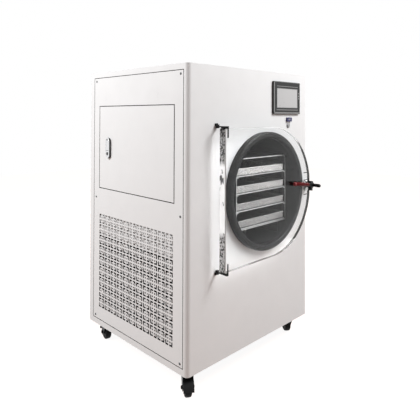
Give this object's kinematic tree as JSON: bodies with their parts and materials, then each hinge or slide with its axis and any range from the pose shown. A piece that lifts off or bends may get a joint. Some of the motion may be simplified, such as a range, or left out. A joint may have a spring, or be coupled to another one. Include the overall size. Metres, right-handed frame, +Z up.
{
  "type": "freeze dryer",
  "caption": "Pilot freeze dryer on casters: steel cabinet, clear chamber door with lever latch, shelves with trays, vented side panel and touch screen.",
  "frame": {"origin": "centre of the footprint at floor level", "axes": "+X to the right seen from the front, +Y to the back, +Z up; the chamber door faces -Y"},
  "size_m": [0.73, 0.774, 1.15],
  "materials": {
    "white_paint": "gloss",
    "stainless": "satin",
    "aluminium": "satin",
    "chrome": "polished",
    "rubber": "matt",
    "black_plastic": "satin",
    "red_plastic": "gloss",
    "blue_plastic": "gloss",
    "acrylic": "clear",
    "foam": "matt",
    "copper": "satin",
    "dark_steel": "satin",
    "screen_glass": "gloss",
    "bezel": "satin",
    "breaker_plastic": "matt"
  },
  "bodies": {
    "cabinet": {"cabinet_shell": "white_paint", "base_pan": "dark_steel", "left_side_panel": "white_paint", "right_side_panel": "white_paint", "back_panel": "white_paint", "door_hinge_bracket_upper": "black_plastic", "door_hinge_bracket_lower": "black_plastic", "latch_keeper": "stainless", "screen_housing": "bezel", "screen_pane": "screen_glass", "usb_port": "blue_plastic", "button_collar": "stainless", "access_hinge_upper": "stainless", "access_hinge_lower": "stainless", "electrical_tray": "white_paint", "power_supply": "aluminium", "circuit_breaker": "breaker_plastic", "condenser_coil": "aluminium", "refrigerant_pipe": "copper", "compressor": "dark_steel", "fan_shroud": "dark_steel", "drain_valve": "stainless", "cable_gland": "black_plastic", "chamber_drum": "stainless", "chamber_insulation": "foam", "door_gasket": "rubber", "rack_frame": "stainless", "shelf_1": "aluminium", "shelf_2": "aluminium", "shelf_3": "aluminium", "shelf_4": "aluminium", "shelf_5": "aluminium", "tray_1": "stainless", "tray_2": "stainless", "tray_3": "stainless", "tray_4": "stainless", "vacuum_port": "stainless"},
    "chamber_door": {"chamber_door": "acrylic", "door_hinge_strap_upper": "black_plastic", "door_hinge_strap_lower": "black_plastic", "latch_block": "black_plastic"},
    "latch": {"latch_spindle": "black_plastic", "latch_lever": "red_plastic", "latch_hook": "stainless"},
    "access_door": {"access_door": "white_paint", "lock_body": "chrome"},
    "lock_lever": {"lock_lever": "chrome"},
    "lock_cam": {"lock_cam": "stainless"},
    "power_button": {"power_button": "stainless"},
    "fan_rotor": {"fan_rotor": "black_plastic"},
    "drain_lever": {"drain_lever": "red_plastic"},
    "caster_fork_front_left": {"caster_fork_front_left": "black_plastic"},
    "caster_wheel_front_left": {"caster_wheel_front_left": "rubber"},
    "caster_fork_front_right": {"caster_fork_front_right": "black_plastic"},
    "caster_wheel_front_right": {"caster_wheel_front_right": "rubber"},
    "caster_fork_rear_left": {"caster_fork_rear_left": "black_plastic"},
    "caster_wheel_rear_left": {"caster_wheel_rear_left": "rubber"},
    "caster_fork_rear_right": {"caster_fork_rear_right": "black_plastic"},
    "caster_wheel_rear_right": {"caster_wheel_rear_right": "rubber"}
  },
  "joints": [
    {"name": "chamber_door_hinge", "type": "hinge", "parent": "cabinet", "child": "chamber_door", "pos_m": [-0.218, -0.285, 0.6755], "axis": [0, 0, -1], "range_deg": [0, 90]},
    {"name": "latch_turn", "type": "hinge", "parent": "chamber_door", "child": "latch", "pos_m": [0.301, -0.3403, 0.6755], "axis": [0, -1, 0], "range_deg": [0, 90]},
    {"name": "access_door_hinge", "type": "hinge", "parent": "cabinet", "child": "access_door", "pos_m": [-0.351, -0.2033, 0.835], "axis": [0, 0, 1], "range_deg": [0, 90]},
    {"name": "lock_lever_lift", "type": "hinge", "parent": "access_door", "child": "lock_lever", "pos_m": [-0.3618, 0.204, 0.8666], "axis": [0, 1, 0], "range_deg": [0, 35]},
    {"name": "lock_cam_turn", "type": "hinge", "parent": "access_door", "child": "lock_cam", "pos_m": [-0.3355, 0.204, 0.836], "axis": [1, 0, 0], "range_deg": [0, 90]},
    {"name": "power_button_press", "type": "slide", "parent": "cabinet", "child": "power_button", "axis": [0, 1, 0], "range_m": [0, 0.0025], "stiffness_N_per_m": 400},
    {"name": "fan_spin", "type": "hinge", "parent": "cabinet", "child": "fan_rotor", "pos_m": [-0.2556, 0.023, 0.256], "axis": [1, 0, 0], "continuous": true},
    {"name": "drain_lever_turn", "type": "hinge", "parent": "cabinet", "child": "drain_lever", "pos_m": [0.048, 0.364, 0.391], "axis": [0, 0, 1], "range_deg": [0, 90]},
    {"name": "caster_front_left_swivel", "type": "hinge", "parent": "cabinet", "child": "caster_fork_front_left", "pos_m": [-0.3, -0.216, 0.086], "axis": [0, 0, 1], "continuous": true},
    {"name": "caster_front_left_roll", "type": "hinge", "parent": "caster_fork_front_left", "child": "caster_wheel_front_left", "pos_m": [-0.31491, -0.2373, 0.032], "axis": [0.8192, -0.5736, 0], "continuous": true},
    {"name": "caster_front_right_swivel", "type": "hinge", "parent": "cabinet", "child": "caster_fork_front_right", "pos_m": [0.31, -0.216, 0.086], "axis": [0, 0, 1], "continuous": true},
    {"name": "caster_front_right_roll", "type": "hinge", "parent": "caster_fork_front_right", "child": "caster_wheel_front_right", "pos_m": [0.32491, -0.1947, 0.032], "axis": [-0.8192, 0.5736, 0], "continuous": true},
    {"name": "caster_rear_left_swivel", "type": "hinge", "parent": "cabinet", "child": "caster_fork_rear_left", "pos_m": [-0.3, 0.286, 0.086], "axis": [0, 0, 1], "continuous": true},
    {"name": "caster_rear_left_roll", "type": "hinge", "parent": "caster_fork_rear_left", "child": "caster_wheel_rear_left", "pos_m": [-0.29327, 0.31111, 0.032], "axis": [-0.9659, 0.2588, 0], "continuous": true},
    {"name": "caster_rear_right_swivel", "type": "hinge", "parent": "cabinet", "child": "caster_fork_rear_right", "pos_m": [0.31, 0.286, 0.086], "axis": [0, 0, 1], "continuous": true},
    {"name": "caster_rear_right_roll", "type": "hinge", "parent": "caster_fork_rear_right", "child": "caster_wheel_rear_right", "pos_m": [0.323, 0.30852, 0.032], "axis": [-0.866, 0.5, 0], "continuous": true}
  ]
}
